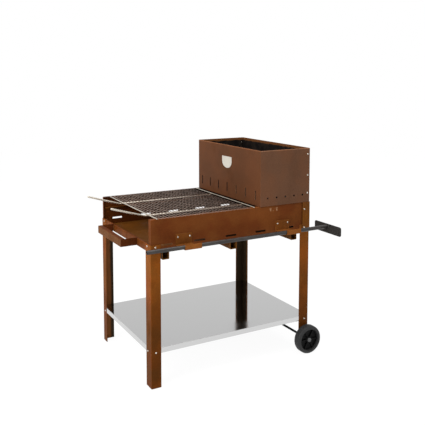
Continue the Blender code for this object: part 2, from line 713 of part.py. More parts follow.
# One screw: a domed head on the outer sheet, a shank through every sheet named, and a nut behind them
def screw(mats, name, seat, direction, grip, sheets):
    out = Vector(direction)
    back = -grip - TOUCH
    profile = [
        (0.0, back - NUT_HEIGHT),
        (NUT_RADIUS, back - NUT_HEIGHT),
        (NUT_RADIUS, back),
        (SHANK_RADIUS, back),
        (SHANK_RADIUS, TOUCH),
        (HEAD_RADIUS, TOUCH),
        (HEAD_RADIUS * 0.8, TOUCH + HEAD_HEIGHT * 0.7),
        (0.0, TOUCH + HEAD_HEIGHT),
    ]
    place(name, turned(profile, seat, out, 8), mats["zinc"], smooth=True)
    for sheet in sheets:
        middle = Vector(seat) - out * grip / 2
        drill(sheet, [middle], out, grip, SHANK_RADIUS + TOUCH, name)


def make_screws(mats, legs, sheets, shelf, brackets, shell, panel):
    leg_z = LEG_TOP - LEG_SCREW_DROP
    shelf_z = SHELF_HEIGHT - SHELF_SCREW_DROP
    for along_y, side in ((-1, "front"), (1, "back")):
        out = (0, along_y, 0)
        wall = sheets[f"firebox_{side}_wall"]
        leg = legs[f"leg_{side}_left"]
        face_y, inset_x = along_y * HALF_Y, HALF_X - LEG_SCREW_INSET
        leg_grip = LEG_SHEET + TOUCH + SHEET
        screw(mats, f"leg_screw_{side}_face", (-inset_x, face_y, leg_z), out, leg_grip, [leg, wall])
        end_y = {
            along_x: along_y * (HALF_Y - leg_flanges(along_x, along_y)[1] + LEG_EDGE_SCREW_INSET)
            for along_x in (-1, 1)
        }
        end_seat = (-HALF_X, end_y[-1], leg_z)
        holes = [leg, sheets["firebox_sill"]]
        screw(mats, f"leg_screw_{side}_end", end_seat, (-1, 0, 0), leg_grip, holes)
        shelf_grip = LEG_SHEET + TOUCH + SHELF_SHEET
        for along_x, end in ((-1, "left"), (1, "right")):
            holes = [legs[f"leg_{side}_{end}"], shelf]
            seat = (along_x * inset_x, face_y, shelf_z)
            screw(mats, f"shelf_screw_{side}_{end}", seat, out, shelf_grip, holes)
            seat = (along_x * HALF_X, end_y[along_x], shelf_z)
            screw(mats, f"shelf_screw_{side}_{end}_end", seat, (along_x, 0, 0), shelf_grip, holes)
        for drop, level in zip(END_SCREW_DROPS, ("upper", "lower")):
            seat = (END_X - END_SCREW_INSET, along_y * END_Y, RIM_HEIGHT - drop)
            holes = [sheets["firebox_end_panel"], wall]
            if level == "lower":
                holes.append(legs[f"leg_{side}_right"])
            screw(mats, f"end_panel_screw_{side}_{level}", seat, out, END_Y - WALL_INSIDE_Y, holes)
        rises = (PANEL_SCREW_LOW, PANEL_SCREW_MIDDLE, BRAZIER_HEIGHT - PANEL_SCREW_DROP)
        for rise, level in zip(rises, ("low", "middle", "high")):
            seat = (BRAZIER_RIGHT - PANEL_SCREW_INSET, along_y * BRAZIER_Y, BRAZIER_FOOT + rise)
            screw(mats, f"brazier_screw_{side}_{level}", seat, out, SHEET * 2 + TOUCH, [shell, panel])
    for end, along_x in (("left", -1), ("right", 1)):
        for number, step in enumerate((-1, 1)):
            x = along_x * (HALF_X - BRACKET_INSET) + step * BRACKET_SCREW_SPACING / 2
            seat = (x, BRACKET_Y - BRACKET_SHEET, BRACKET_FOOT + BRACKET_HEIGHT - BRACKET_SCREW_DROP)
            holes = [brackets[f"rake_bracket_{end}"], sheets["firebox_front_wall"]]
            grip = BRACKET_SHEET + TOUCH + SHEET
            screw(mats, f"bracket_screw_{end}_{number + 1}", seat, (0, -1, 0), grip, holes)


# Moves the whole part so that the origin is on the ground under the middle of its outline
def stand_on_origin():
    bpy.context.view_layer.update()
    graph = bpy.context.evaluated_depsgraph_get()
    spots = []
    for obj in bpy.context.scene.objects:
        if not obj.hide_render:
            solid = obj.evaluated_get(graph)
            spots += [solid.matrix_world @ vert.co for vert in solid.to_mesh().vertices]
            solid.to_mesh_clear()
    middle_x = (min(spot.x for spot in spots) + max(spot.x for spot in spots)) / 2
    middle_y = (min(spot.y for spot in spots) + max(spot.y for spot in spots)) / 2
    for obj in bpy.context.scene.objects:
        obj.location -= Vector((middle_x, middle_y, 0.0))


def main():
    clear_scene()
    mats = make_materials()
    legs = make_legs(mats)
    sheets = make_firebox(mats)
    make_channels(mats)
    shelf = make_shelf(mats)
    make_wheels(mats)
    make_carry_handle(mats)
    make_grill(mats)
    shell, panel = make_brazier(mats)
    make_badge(mats)
    brackets = make_rake(mats)
    make_screws(mats, legs, sheets, shelf, brackets, shell, panel)
    stand_on_origin()


main()
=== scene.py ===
"""Looks of the wood-fired barbecue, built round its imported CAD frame.

Metres, Z up. X runs from the carry handle to the wheels, and the rake hangs on the -Y side.
Places are taken from the frame's own nodes, so that every piece sits where its solid does.
"""
import json
import math

import bmesh
import bpy
from mathutils import Matrix, Vector

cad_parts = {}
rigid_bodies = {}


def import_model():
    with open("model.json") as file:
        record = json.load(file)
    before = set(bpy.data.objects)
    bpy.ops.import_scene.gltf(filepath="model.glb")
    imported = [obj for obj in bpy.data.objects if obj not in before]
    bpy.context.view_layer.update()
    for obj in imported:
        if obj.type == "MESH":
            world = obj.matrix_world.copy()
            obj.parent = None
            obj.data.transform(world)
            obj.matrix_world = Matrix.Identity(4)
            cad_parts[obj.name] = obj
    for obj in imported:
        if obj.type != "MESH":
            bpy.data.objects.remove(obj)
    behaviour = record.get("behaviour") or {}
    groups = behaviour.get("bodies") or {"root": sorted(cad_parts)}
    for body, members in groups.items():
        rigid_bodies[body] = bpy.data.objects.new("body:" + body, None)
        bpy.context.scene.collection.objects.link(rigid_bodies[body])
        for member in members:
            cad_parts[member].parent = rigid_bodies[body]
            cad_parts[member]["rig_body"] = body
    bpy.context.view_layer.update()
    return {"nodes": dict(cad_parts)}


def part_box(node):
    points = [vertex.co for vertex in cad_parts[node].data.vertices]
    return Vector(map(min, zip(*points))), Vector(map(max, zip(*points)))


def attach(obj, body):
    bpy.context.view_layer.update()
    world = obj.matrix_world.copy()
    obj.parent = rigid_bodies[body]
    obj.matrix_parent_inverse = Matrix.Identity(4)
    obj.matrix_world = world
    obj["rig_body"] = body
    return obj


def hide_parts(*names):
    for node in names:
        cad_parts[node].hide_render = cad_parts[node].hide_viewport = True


# Camera, measured from the photograph about the middle of the legs
FOCAL_PIXELS = 630.900
PHOTO_PIXELS = 425
SENSOR = 36.0
CAMERA_PLACE = (-1.5827, -2.9259, 1.4536)
CAMERA_AZIMUTH = -29.224
CAMERA_ELEVATION = 5.055
CAMERA_ROLL = 0.036
CAMERA_SHIFT = -0.1894

# Paint: sizes in millimetres, the grain drawn coarser than the real one so that it shows
PAINT_SHINE = 0.04
GRAIN_MM = 3.5
PATCH_MM = 70.0
RUN_SHARE = 0.4
RUN_STRETCH = 1.9
RUN_SHIFT = (3.1, 3.1, 3.1)
PATCH_SHIFT = (5.0, 5.0, 5.0)
SCRAPE_PLACE = (0.225, -0.330, 0.781)
SCRAPE_HALF = (0.032, 0.050, 0.010)
SCRAPE_TONE = "b08a68"
SCRAPE_MM = 5.0
SCRAPE_STRETCH = 3.0
SCRAPE_SHIFT = (7.0, 7.0, 7.0)

# Overspray on unpainted faces: where it starts and ends, from the middle of the legs or the rim
PRIMER_LEFT = (-0.418, -0.404)
PRIMER_RIGHT = (0.404, 0.408)
PRIMER_DEPTH = (0.273, 0.278)
PRIMER_RAGGED = 0.003
PRIMER_STRETCH = 2.2
BRAZIER_BAND = (0.018, 0.011)
BRAZIER_BAND_TONE = "6a4224"
BRAZIER_RAGGED = 0.0015
SOOT_TONES = ("151211", "241e1a")

# Sheet work: a cut edge is a face narrower than THIN_FACE, and a heart is a point that inner faces look at
EDGE_ROUND = 0.0003
SHARP_ANGLE = 50
THIN_FACE = 0.0034
SHEET = 0.002
HANDLE_LIP = 0.0062
FIREBOX_HEART = 0.72

# Wheels, as distances from the axle and inwards from the outer face
WHEEL_RADIUS = 0.0735
WHEEL_WIDTH = 0.045
WHEEL_STEPS = 84
TREAD_ROUND = 0.012
RIM_RADIUS = 0.055
RIM_LIP = ((0.0006, 0.0030), (0.0014, 0.0006), (0.0028, 0.0))
SEAM_START = 0.0014
SEAM_WIDTH = 0.0008
SEAM_DEPTH = 0.0009
HUB_RADIUS = 0.017
HUB_DEPTH = 0.006
AXLE_BORE = 0.0064
WEB_DEPTH = 0.016
WEB_BACK = 0.024
RIB_COUNT = 6
RIB_WIDTH = 0.004
RIB_DEPTH = 0.009
CAP_RADIUS = 0.0115
CAP_LENGTH = 0.007
CAP_SEAT = 0.004
CAP_DOME = ((0.45, 0.95), (0.75, 0.80), (0.94, 0.52), (1.0, 0.22), (1.0, 0.0))
CAP_STEPS = 40
AXLE_CHAMFER = 0.0006
AXLE_STEPS = 32

# Grill: first the wires from front to back, then the thinner ones laid across them
WIRE_RADII = (0.0013, 0.0007)
WIRE_PITCHES = (0.0179, 0.0358)
WIRE_SIDES = 8
ROD_RADIUS = 0.0045
HANDLE_START = 0.010
HANDLE_SPLAY = {"front": -0.020, "back": -0.012}
HANDLE_BEND = 0.030
ROUND_STEPS = 5

# Rake tube and the weld round its blade end
TUBE_WALL = 0.0015
TUBE_BREAK = 0.0004
TUBE_STEPS = 48
BEAD_RADIUS = 0.0022
BEAD_GAP = 0.0002
BEAD_STEPS = 60
BEAD_RIPPLES = 17
RIPPLE_DEPTH = 0.0006

# Screws
HEAD_RADIUS = 0.0045
HEAD_HEIGHT = 0.0025
SOCKET_RADIUS = 0.0016
SOCKET_DEPTH = 0.0015
SHANK_RADIUS = 0.0022
NUT_RADIUS = 0.0040
NUT_HEIGHT = 0.0035
NUT_CHAMFER = 0.0005
SCREW_STEPS = 24

# Studio
FLOOR_RADIUS = 9.0
FLOOR_STEPS = 96
FLOOR_TONE = "f4f4f4"
FLOOR_GLOW = 1.05
GLOW_SHARE = 0.90
ROOM_LIGHT = 0.60
LAMPS = {
    "key_softbox_left": ((-3.2, -1.2, 2.6), 1.8, 85),
    "top_softbox": ((0.2, -0.6, 3.6), 2.2, 60),
}
LAMP_TARGET = (0.05, 0, 0.6)

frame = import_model()
NODES = frame["nodes"]
MIDDLE = (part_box("leg_front_left")[0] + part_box("leg_back_right")[1]) / 2
MIDDLE.z = 0.0


# Colours and nodes
def linear(hex_colour):
    parts = [int(hex_colour[i : i + 2], 16) / 255 for i in (0, 2, 4)]
    return (*[c / 12.92 if c <= 0.04045 else ((c + 0.055) / 1.055) ** 2.4 for c in parts], 1.0)


def feed(tree, node, inputs):
    for socket, value in inputs.items():
        if isinstance(value, bpy.types.NodeSocket):
            tree.links.new(value, node.inputs[socket])
        else:
            node.inputs[socket].default_value = value


def add(tree, kind, inputs=None, out=0, **settings):
    """Adds a shader node with its settings, inputs and links, and gives back one of its outputs."""
    made = tree.nodes.new(f"ShaderNode{kind}")
    for name, value in settings.items():
        setattr(made, name, value)
    feed(tree, made, inputs or {})
    return made.outputs[out]


# Settings that many nodes share
SOFT = {"interpolation_type": "SMOOTHSTEP"}
COLOURS = {"out": 2, "data_type": "RGBA"}


def sized(place, size_mm, detail):
    """Inputs of a noise whose features are about size_mm across."""
    return {"Vector": place, "Scale": 500 / size_mm, "Detail": detail, "Roughness": 0.55}


def new_material(name, **values):
    mat = bpy.data.materials.new(name)
    mat.use_nodes = True
    shader = mat.node_tree.nodes["Principled BSDF"]
    feed(mat.node_tree, shader, {socket.replace("_", " "): value for socket, value in values.items()})
    return mat, mat.node_tree, shader


# Matt rust-effect paint sprayed on steel sheet: brown clouds, a fine grain and soft darker runs
def rust_effect_paint(name, tone, other, cloud_mm, contrast, fade=None, scrape=None):
    mat, tree, shader = new_material(name, Specular_IOR_Level=PAINT_SHINE)
    place = add(tree, "TexCoord", out="Object")
    grain = add(tree, "TexNoise", sized(place, GRAIN_MM, 2.0))
    clouds = add(tree, "TexNoise", sized(place, cloud_mm, 3.0))
    downward = {"Vector": place, "Location": RUN_SHIFT, "Scale": (1, 1, 1 / RUN_STRETCH)}
    runs = add(tree, "TexNoise", sized(add(tree, "Mapping", downward), cloud_mm * RUN_SHARE, 4.0))
    runs = add(tree, "MapRange", {0: runs, 1: 0.48, 2: 0.72}, **SOFT)
    moved = add(tree, "Mapping", {"Vector": place, "Location": PATCH_SHIFT})
    patches = add(tree, "TexNoise", sized(moved, PATCH_MM, 2.0))
    patches = add(tree, "MapRange", {0: patches, 1: 0.4, 2: 0.6}, **SOFT)
    colour = add(tree, "Mix", {0: patches, 6: linear(tone), 7: linear(other)}, **COLOURS)
    levels = [
        add(tree, "MapRange", {0: clouds, 1: 0.34, 2: 0.66, 3: 1 - contrast, 4: 1 + contrast}, **SOFT),
        add(tree, "MapRange", {0: grain, 1: 0.3, 2: 0.7, 3: 0.93, 4: 1.07}, **SOFT),
        add(tree, "MapRange", {0: runs, 3: 1.03, 4: 1 - contrast}, **SOFT),
    ]
    if fade:
        axis, start, end, at_start, at_end = fade
        along = add(tree, "SeparateXYZ", {0: place}, axis)
        levels.append(add(tree, "MapRange", {0: along, 1: start, 2: end, 3: at_start, 4: at_end}, **SOFT))
    for level in levels:
        colour = add(tree, "VectorMath", {0: colour, "Scale": level}, operation="SCALE")
    if scrape:
        mask = scrape_mask(tree, place, *scrape)
        colour = add(tree, "Mix", {0: mask, 6: colour, 7: linear(SCRAPE_TONE)}, **COLOURS)
    rough = add(tree, "MapRange", {0: runs, 3: 0.5, 4: 0.62}, **SOFT)
    bump = add(tree, "Bump", {"Height": grain, "Distance": 0.0003, "Strength": 0.2})
    feed(tree, shader, {"Base Color": colour, "Roughness": rough, "Normal": bump})
    return mat


# Short scratches through the paint, inside a small box about a point
def scrape_mask(tree, place, centre, half):
    upright = {"Vector": place, "Location": SCRAPE_SHIFT, "Scale": (1, 1, 1 / SCRAPE_STRETCH)}
    marks = add(tree, "TexNoise", sized(add(tree, "Mapping", upright), SCRAPE_MM, 3.0))
    mask = add(tree, "MapRange", {0: marks, 1: 0.50, 2: 0.56}, **SOFT)
    for axis in range(3):
        part = add(tree, "SeparateXYZ", {0: place}, axis)
        off = add(tree, "Math", {0: part, 1: centre[axis]}, operation="SUBTRACT")
        off = add(tree, "Math", {0: off}, operation="ABSOLUTE")
        near = add(tree, "MapRange", {0: off, 1: half[axis] * 0.7, 2: half[axis], 3: 1.0, 4: 0.0}, **SOFT)
        mask = add(tree, "Math", {0: mask, 1: near}, operation="MULTIPLY")
    return mask


# The unpainted inside of an angle leg: near-black primer, with brown overspray in from its edges
def leg_inside_primer(name, dark, brown):
    mat, tree, shader = new_material(name, Specular_IOR_Level=PAINT_SHINE)
    place = add(tree, "TexCoord", out="Object")
    grain = add(tree, "TexNoise", sized(place, 2.5, 2.0))
    drawn_out = add(tree, "Mapping", {"Vector": place, "Scale": (1, 1, 1 / PRIMER_STRETCH)})
    ragged = add(tree, "TexNoise", sized(drawn_out, 30.0, 4.0))
    ragged = add(tree, "MapRange", {0: ragged, 1: 0.3, 2: 0.7, 3: -PRIMER_RAGGED, 4: PRIMER_RAGGED}, **SOFT)
    across = add(tree, "SeparateXYZ", {0: place}, 0)
    across = add(tree, "Math", {0: across, 1: ragged}, operation="ADD")
    depth = add(tree, "SeparateXYZ", {0: place}, 1)
    depth = add(tree, "Math", {0: depth, 1: MIDDLE.y}, operation="SUBTRACT")
    depth = add(tree, "Math", {0: depth}, operation="ABSOLUTE")
    depth = add(tree, "Math", {0: depth, 1: ragged}, operation="ADD")
    start, end = (MIDDLE.x + x for x in PRIMER_LEFT)
    left = add(tree, "MapRange", {0: across, 1: start, 2: end, 3: 1.0, 4: 0.0}, **SOFT)
    start, end = (MIDDLE.x + x for x in PRIMER_RIGHT)
    right = add(tree, "MapRange", {0: across, 1: start, 2: end, 3: 1.0, 4: 0.0}, **SOFT)
    beyond = add(tree, "Math", {0: across, 1: MIDDLE.x}, operation="GREATER_THAN")
    right = add(tree, "Math", {0: right, 1: beyond}, operation="MULTIPLY")
    start, end = PRIMER_DEPTH
    mask = add(tree, "MapRange", {0: depth, 1: start, 2: end, 3: 0.8, 4: 0.0}, **SOFT)
    for side in (left, right):
        mask = add(tree, "Math", {0: mask, 1: side}, operation="MAXIMUM")
    colour = add(tree, "Mix", {0: mask, 6: linear(dark), 7: linear(brown)}, **COLOURS)
    rough = add(tree, "MapRange", {0: grain, 1: 0.3, 2: 0.7, 3: 0.5, 4: 0.65}, **SOFT)
    bump = add(tree, "Bump", {"Height": grain, "Distance": 0.0002, "Strength": 0.2})
    feed(tree, shader, {"Base Color": colour, "Roughness": rough, "Normal": bump})
    return mat


# Heat-proof black inside the brazier: sooty and dull, with brown overspray below the top edge
def brazier_inside_black(name, top):
    mat, tree, shader = new_material(name, Specular_IOR_Level=PAINT_SHINE)
    place = add(tree, "TexCoord", out="Object")
    soot = add(tree, "TexNoise", sized(place, 18.0, 4.0))
    ragged = add(tree, "MapRange", {0: soot, 1: 0.3, 2: 0.7, 3: -BRAZIER_RAGGED, 4: BRAZIER_RAGGED}, **SOFT)
    height = add(tree, "SeparateXYZ", {0: place}, 2)
    height = add(tree, "Math", {0: height, 1: ragged}, operation="ADD")
    start, end = (top - below for below in BRAZIER_BAND)
    mask = add(tree, "MapRange", {0: height, 1: start, 2: end}, **SOFT)
    patches = add(tree, "MapRange", {0: soot, 1: 0.4, 2: 0.65}, **SOFT)
    black, worn = (linear(tone) for tone in SOOT_TONES)
    black = add(tree, "Mix", {0: patches, 6: black, 7: worn}, **COLOURS)
    colour = add(tree, "Mix", {0: mask, 6: black, 7: linear(BRAZIER_BAND_TONE)}, **COLOURS)
    rough = add(tree, "MapRange", {0: soot, 1: 0.3, 2: 0.7, 3: 0.55, 4: 0.8}, **SOFT)
    crust = add(tree, "TexNoise", sized(place, 3.0, 3.0))
    bump = add(tree, "Bump", {"Height": crust, "Distance": 0.0004, "Strength": 0.4})
    feed(tree, shader, {"Base Color": colour, "Roughness": rough, "Normal": bump})
    return mat


# Plain metal, plastic or enamel: one colour with a faint mottle and a fine surface
def mottled(name, tone, other, roughness, grain_mm, depth, metallic=0.0, specular=0.5):
    mat, tree, shader = new_material(name, Metallic=metallic, Specular_IOR_Level=specular)
    place = add(tree, "TexCoord", out="Object")
    clouds = add(tree, "TexNoise", sized(place, 40.0, 3.0))
    clouds = add(tree, "MapRange", {0: clouds, 1: 0.35, 2: 0.65}, **SOFT)
    colour = add(tree, "Mix", {0: clouds, 6: linear(tone), 7: linear(other)}, **COLOURS)
    grain = add(tree, "TexNoise", sized(place, grain_mm, 2.0))
    least, most = roughness - 0.06, roughness + 0.06
    rough = add(tree, "MapRange", {0: grain, 1: 0.3, 2: 0.7, 3: least, 4: most}, **SOFT)
    bump = add(tree, "Bump", {"Height": grain, "Distance": depth, "Strength": 0.3})
    feed(tree, shader, {"Base Color": colour, "Roughness": rough, "Normal": bump})
    return mat


# Mirror-polished stainless sheet: clear reflections with the faint waves of thin sheet
def mirror_stainless(name, tone):
    mat, tree, shader = new_material(name, Metallic=1.0, Base_Color=linear(tone))
    place = add(tree, "TexCoord", out="Object")
    wiped = add(tree, "Mapping", {"Vector": place, "Scale": (1 / 3, 1, 1)})
    smears = add(tree, "TexNoise", sized(wiped, 60.0, 4.0))
    rough = add(tree, "MapRange", {0: smears, 1: 0.35, 2: 0.7, 3: 0.05, 4: 0.12}, **SOFT)
    waves = add(tree, "TexNoise", sized(place, 160.0, 1.0))
    bump = add(tree, "Bump", {"Height": waves, "Distance": 0.0006, "Strength": 0.12})
    feed(tree, shader, {"Roughness": rough, "Normal": bump})
    return mat


# Each painted face: tone, patch tone, cloud size in mm and contrast, then its fade and scrapes.
# A fade is an axis, two places on it and the brightness at each.
def make_paints():
    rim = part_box("brazier_shell")[1].z
    leg_up = (2, 0.15, 0.62, 0.78, 1.3)
    wall_up = (2, 0.665, 0.765, 0.88, 1.06)
    # Painted shade: the firebox's inside and floor darken to a tenth towards the middle, under the grill
    shade_under_grill = (0, MIDDLE.x - 0.42, MIDDLE.x - 0.05, 1.0, 0.10)
    # Painted light and shade: the brackets are lighter at their outer lip than near the wall
    painted_light_on_lip = (1, MIDDLE.y - 0.425, MIDDLE.y - 0.345, 1.2, 1.0)
    # Painted highlight: a narrow band just below the brazier's top rim is up to twice as light
    painted_rim_highlight = (2, rim - 0.0050, rim - 0.0015, 1.0, 2.2)
    scrape = (MIDDLE + Vector(SCRAPE_PLACE), SCRAPE_HALF)
    paints = {
        "leg": ("62370f", "6a380d", 70, 0.17, leg_up),
        # Painted light: the legs' faces across X are a lighter copy of their paint
        "leg_side_painted_light": ("6f3f14", "753c14", 70, 0.15, leg_up),
        # Cut edges are lighter here and below: partly thinner, worn paint and partly a painted highlight
        "leg_edge_wear_and_highlight": ("744420", "7c4a26", 60, 0.15, leg_up),
        "wall": ("623113", "6a3a18", 160, 0.08, wall_up, scrape),
        # Lighter cut edges of the firebox: worn paint and painted highlight
        "wall_edge_wear_and_highlight": ("6a3c1c", "724422", 50, 0.15),
        "inside": ("4a2208", "52290c", 120, 0.15, shade_under_grill),
        "floor": ("5c3610", "643a12", 120, 0.15, shade_under_grill),
        "sill": ("683612", "703c16", 60, 0.15),
        "tray": ("603c1e", "684020", 60, 0.12),
        # Painted shade: the handle's arms and all its faces not across X are a darker copy of the tray's
        # paint
        "tray_arm_painted_shade": ("4c220a", "54290e", 60, 0.12),
        "flange": ("6c401a", "744416", 90, 0.15),
        "bracket": ("6e3f18", "76451c", 40, 0.15, painted_light_on_lip),
        "channel": ("5c3814", "64401a", 90, 0.15),
        "brazier": ("624432", "664430", 130, 0.06, painted_rim_highlight),
        # Painted shade: the brazier's faces across X are a darker copy of its paint
        "brazier_side_painted_shade": ("5d3a24", "623c25", 130, 0.06, painted_rim_highlight),
        # Painted highlight and worn paint: the brazier's cut edges are much lighter
        "brazier_edge_wear_and_highlight": ("8a6448", "946e50", 50, 0.15),
    }
    mats = {name: rust_effect_paint(f"rust_effect_paint_{name}", *row) for name, row in paints.items()}
    # Painted shade: a dark band on the top face of the back wall's rim
    mats["sooted_rim"] = rust_effect_paint("sooted_rust_effect_paint_rim", "2e1608", "381c0c", 60, 0.15)
    mats["primer"] = leg_inside_primer("dark_primer_with_overspray", "3b2e20", "8c5830")
    mats["brazier_inside"] = brazier_inside_black("sooted_black_paint", rim)
    return mats


# Each bare part: tone, patch tone, roughness, grain in mm and its depth, metallic, specular level
def make_metals_and_plastics():
    plain = {
        "soot": ("sooted_cast_steel", "1a1715", "241f1c", 0.7, 3.0, 0.0004, 0.2, 0.3),
        "wire": ("bright_stainless_wire", "a48f82", "907c70", 0.3, 2.0, 0.00005, 1.0),
        "rod": ("bright_stainless_rod", "cfc6b8", "bfb5a6", 0.28, 2.0, 0.00005, 1.0),
        "screw": ("zinc_plated_steel", "dcd6cc", "c9c1b4", 0.28, 1.0, 0.00003, 1.0),
        "rake": ("bare_dark_steel_tube", "423e3c", "383432", 0.34, 3.0, 0.0001, 0.5, 0.4),
        "blade": ("bare_dark_steel_plate", "2e2c2a", "343230", 0.5, 3.0, 0.0002, 0.3, 0.3),
        "axle": ("blacked_steel_bar", "101010", "161616", 0.5, 2.0, 0.0001, 0.0, 0.1),
        "tyre": ("moulded_black_plastic", "262626", "2c2c2c", 0.55, 1.5, 0.0001, 0.0, 0.25),
        # Painted shade: the recessed wheel centre is a far darker copy of the tyre's black plastic
        "wheel_centre": ("moulded_black_plastic_centre_painted_shade", "080808", "0c0c0c", 0.5, 1.5, 0.0001, 0.0, 0.1),
        "cap": ("grey_plastic_cap", "484848", "505050", 0.4, 1.0, 0.00005),
        "badge": ("pale_enamelled_plate", "d8d3c6", "d2ccc0", 0.3, 1.2, 0.00003, 0.0, 0.2),
    }
    mats = {name: mottled(*row) for name, row in plain.items()}
    # Painted shade: one stainless sheet in three tones, the top darker than the flanges and the folds darkest
    for part, tone in (("sheet", "bbbbbb"), ("flange", "cccccc"), ("fold", "707070")):
        mats[f"mirror_{part}"] = mirror_stainless(f"polished_stainless_{part}", tone)
    return mats


# Turns a finished bmesh into a piece that rides on the body of the CAD nodes that it replaces
def piece(name, bm, finishes, nodes, smooth_angle=40):
    mesh = bpy.data.meshes.new(name)
    bm.to_mesh(mesh)
    bm.free()
    for finish in finishes:
        mesh.materials.append(finish)
    mesh.shade_smooth()
    mesh.set_sharp_from_angle(angle=math.radians(smooth_angle))
    obj = bpy.data.objects.new(name, mesh)
    bpy.context.scene.collection.objects.link(obj)
    return dress(obj, nodes)


def dress(obj, nodes):
    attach(obj, NODES[nodes[0]]["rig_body"])
    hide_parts(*nodes)
    return obj


def steady_normals(obj):
    obj.modifiers.new("flat_faces", "WEIGHTED_NORMAL").keep_sharp = True


def add_box(bm, low, high):
    low, high = Vector(low), Vector(high)
    size = Matrix.Diagonal((*(high - low), 1.0))
    return bmesh.ops.create_cube(bm, size=1.0, matrix=Matrix.Translation((low + high) / 2) @ size)["verts"]


def bevelled(bm, edges, offset, segments=2):
    bmesh.ops.bevel(
        bm,
        geom=edges,
        offset=offset,
        offset_type="OFFSET",
        segments=segments,
        profile=0.5,
        material=-1,
        affect="EDGES",
    )


def sharp_edges(bm, angle=SHARP_ANGLE):
    limit = math.radians(angle)
    return [e for e in bm.edges if len(e.link_faces) == 2 and e.calc_face_angle(0.0) > limit]


def spun(bm, profile, centre, axis, steps):
    """Spins an outline of (radius, distance along the axis) round an axis through the centre."""
    centre, axis = Vector(centre), Vector(axis).normalized()
    out = axis.orthogonal().normalized()
    verts = [bm.verts.new(centre + out * r + axis * a) for r, a in profile]
    edges = [bm.edges.new(pair) for pair in zip(verts, verts[1:])]
    if profile[0][0] > 0:
        edges.append(bm.edges.new((verts[-1], verts[0])))
    geom = verts + edges
    bmesh.ops.spin(bm, geom=geom, cent=centre, axis=axis, angle=math.tau, steps=steps, use_merge=True)


def closed(bm):
    bmesh.ops.remove_doubles(bm, verts=bm.verts, dist=1e-6)
    bmesh.ops.recalc_face_normals(bm, faces=bm.faces)
    return bm


def fine_sheet(node, outside, side, inside, edge, heart=None, fold=None):
    """A copy of a CAD sheet with rounded edges: side faces X, inside the heart, edge is a cut edge."""
    bm = bmesh.new()
    bm.from_mesh(NODES[node].data)
    bmesh.ops.remove_doubles(bm, verts=bm.verts, dist=1e-5)
    bmesh.ops.dissolve_limit(bm, angle_limit=math.radians(1), verts=bm.verts, edges=bm.edges)
    for face in bm.faces:
        longest = max(e.calc_length() for e in face.edges)
        thin = face.calc_area() / longest < THIN_FACE
        inward = heart and face.normal.dot(heart - face.calc_center_median()) > 0.004
        across = abs(face.normal.x) > 0.8
        square = max(abs(part) for part in face.normal) > 0.99
        face.material_index = 2 if inward else 3 if thin and square else 1 if across else 0
        if fold and not square:
            face.material_index = 4
    bevelled(bm, sharp_edges(bm), EDGE_ROUND)
    finishes = [outside, side, inside, edge] + ([fold] if fold else [])
    made = piece(f"{node}_sheet", bm, finishes, [node], 30)
    steady_normals(made)
    return made


# The heart of each leg is its free corner, which its unpainted faces look at
def make_legs(mats):
    for side in ("front", "back"):
        for end in ("left", "right"):
            node = f"leg_{side}_{end}"
            low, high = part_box(node)
            heart = (low + high) / 2
            heart.x = high.x - 0.004 if end == "left" else low.x + 0.004
            heart.y = high.y - 0.004 if side == "front" else low.y + 0.004
            fine_sheet(node, mats["leg"], mats["leg_side_painted_light"], mats["primer"], mats["leg_edge_wear_and_highlight"], heart)


def make_firebox(mats):
    low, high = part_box("firebox_floor")
    heart = (low + high) / 2
    heart.z = FIREBOX_HEART
    wall, inside, edge, flange = (mats[name] for name in ("wall", "inside", "wall_edge_wear_and_highlight", "flange"))
    # The top of the back wall's rim takes the painted shade, the front wall's keeps the wall paint
    for node, rim in (("firebox_front_wall", wall), ("firebox_back_wall", mats["sooted_rim"])):
        made = fine_sheet(node, wall, wall, inside, edge, heart)
        made.data.materials.append(rim)
        for face in made.data.polygons:
            if face.normal.z > 0.9 and face.center.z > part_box(node)[1].z - SHEET / 2:
                face.material_index = len(made.data.materials) - 1
    fine_sheet("firebox_sill", wall, mats["sill"], inside, edge, heart)
    fine_sheet("firebox_end_panel", flange, wall, inside, edge, heart)
    fine_sheet("firebox_floor", mats["floor"], wall, mats["floor"], edge)
    for node in ("grill_ledge_front", "grill_ledge_back"):
        fine_sheet(node, mats["floor"], inside, inside, edge)
    for end in ("left", "middle", "right"):
        fine_sheet(f"floor_channel_{end}", *[mats["channel"]] * 4)
    for end in ("left", "right"):
        fine_sheet(f"rake_bracket_{end}", *[mats["bracket"]] * 3, edge)
    fine_sheet("carry_handle", mats["tray_arm_painted_shade"], mats["tray"], inside, edge)
    make_handle_arm_tops(mats)


# Strips that close the gap above the handle's two arms, up to the height of its tray, in the arms' darker
# copy of the paint (painted shade)
def make_handle_arm_tops(mats):
    low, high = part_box("carry_handle")
    bm = bmesh.new()
    for y in (low.y, high.y - SHEET):
        add_box(bm, (low.x + SHEET, y, high.z - HANDLE_LIP), (high.x, y + SHEET, high.z))
    piece("carry_handle_arm_tops", bm, [mats["tray_arm_painted_shade"]], ["carry_handle"])


# Painted shade on one stainless sheet: the shelf's top is a darker copy than its flanges, and its folds are
# painted as thin dark lines
def make_shelf(mats):
    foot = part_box("shelf")[0].z
    flange = mats["mirror_flange"]
    made = fine_sheet("shelf", flange, flange, flange, flange, None, mats["mirror_fold"])
    made.data.materials.append(mats["mirror_sheet"])
    for face in made.data.polygons:
        if abs(face.normal.z) > 0.99 and face.center.z > foot + SHEET:
            face.material_index = len(made.data.materials) - 1


